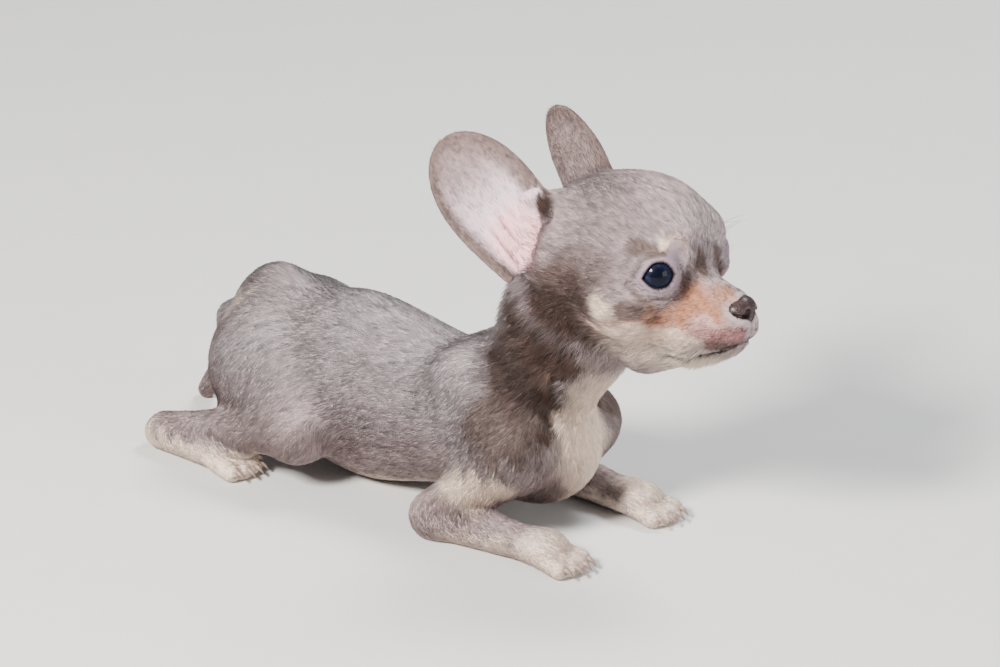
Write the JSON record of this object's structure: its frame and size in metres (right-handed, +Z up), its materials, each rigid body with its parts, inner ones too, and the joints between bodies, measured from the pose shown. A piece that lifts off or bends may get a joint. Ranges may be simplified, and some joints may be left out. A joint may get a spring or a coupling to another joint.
{
  "type": "chihuahua puppy model",
  "caption": "Still, life-size model of a smooth-coated chihuahua puppy lying low on its forearms and belly, head raised, large ears laid back.",
  "frame": {"origin": "on the floor, under the middle of the bounding box", "axes": "+X forward along the trunk, +Y to the animal's left, +Z up"},
  "size_m": [0.2386, 0.0804, 0.1392],
  "materials": {
    "coat": "short fur",
    "tan_coat": "short fur",
    "ear": "short fur and skin",
    "eye": "wet gloss",
    "nose": "damp leather"
  },
  "bodies": {
    "root": {"head": "coat", "lower_jaw": "tan_coat", "nose": "nose", "ear_left": "ear", "ear_right": "ear", "eye_left": "eye", "eye_right": "eye", "neck": "coat", "torso": "coat", "tail": "coat", "shoulder_left": "coat", "shoulder_right": "coat", "forearm_left": "coat", "forearm_right": "coat", "forepaw_left": "tan_coat", "forepaw_right": "tan_coat", "thigh_left": "coat", "thigh_right": "coat", "shank_left": "coat", "shank_right": "coat", "hindpaw_left": "tan_coat", "hindpaw_right": "tan_coat"}
  },
  "joints": []
}
